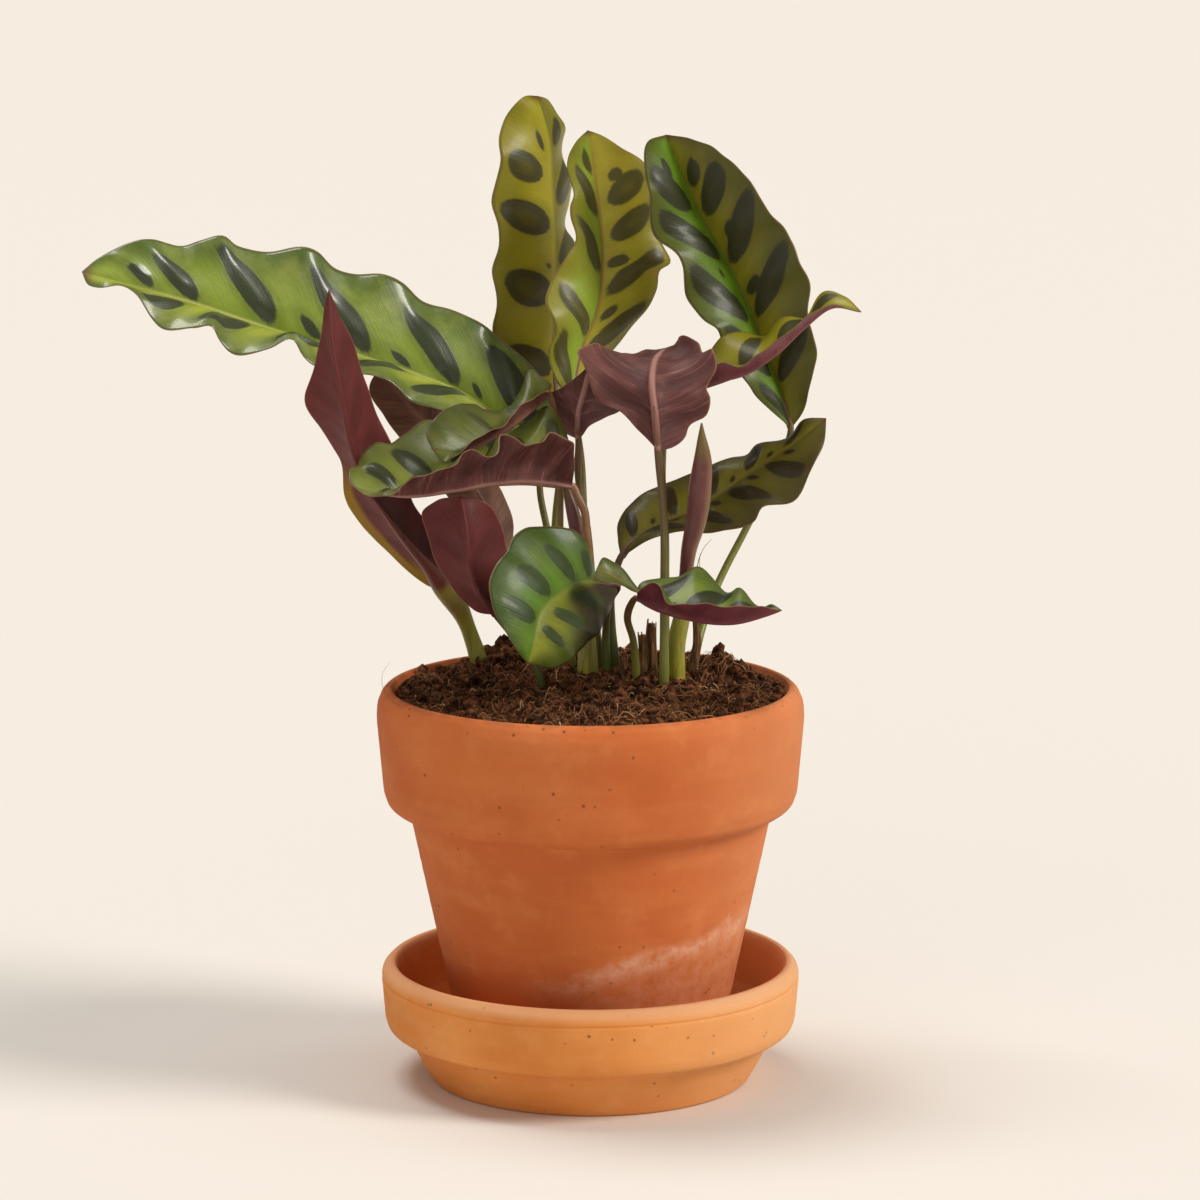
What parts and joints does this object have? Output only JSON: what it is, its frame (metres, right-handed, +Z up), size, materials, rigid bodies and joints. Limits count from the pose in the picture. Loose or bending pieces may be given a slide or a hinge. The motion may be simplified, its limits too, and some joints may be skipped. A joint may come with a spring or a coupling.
{
  "type": "potted rattlesnake plant",
  "caption": "Bushy foliage plant with long wavy patterned leaves on thin stalks, standing in soil in a tapered clay pot on a deep clay saucer.",
  "frame": {"origin": "middle of the saucer's flat underside, on the surface that the plant stands on", "axes": "+Z up, -Y towards the viewer of the picture, +X to the viewer's right; the longest leaf reaches to -X"},
  "size_m": [0.2541, 0.1684, 0.3182],
  "materials": {
    "terracotta_pot": "matte unglazed orange terracotta with a chalky bloom",
    "terracotta_saucer": "matte unglazed terracotta, a little yellower than the pot",
    "soil": "loose brown coir and peat",
    "leaf": "satin leaf, yellow-green with dark green ovals above and wine purple beneath",
    "young_leaf": "satin rolled leaf, purple-brown over a green stalk",
    "dry_stalk": "dry papery brown"
  },
  "bodies": {
    "root": {"saucer": "terracotta_saucer", "pot": "terracotta_pot", "soil": "soil", "leaf_long_left": "leaf", "leaf_tall_wine": "leaf", "leaf_back_left": "leaf", "leaf_small_torn": "leaf", "leaf_front_left": "leaf", "leaf_oval_wine": "leaf", "leaf_top_left": "leaf", "leaf_front_round": "leaf", "leaf_top_middle": "leaf", "leaf_top_right": "leaf", "leaf_centre_wine": "leaf", "leaf_strip_right": "leaf", "leaf_low_right": "leaf", "leaf_front_right": "leaf", "leaf_middle_brown": "leaf", "young_leaf_spike": "young_leaf", "young_leaf_small": "young_leaf", "dry_stub_left": "dry_stalk", "dry_stub_middle": "dry_stalk", "dry_stub_right": "dry_stalk", "dry_sheath": "dry_stalk"}
  },
  "joints": []
}
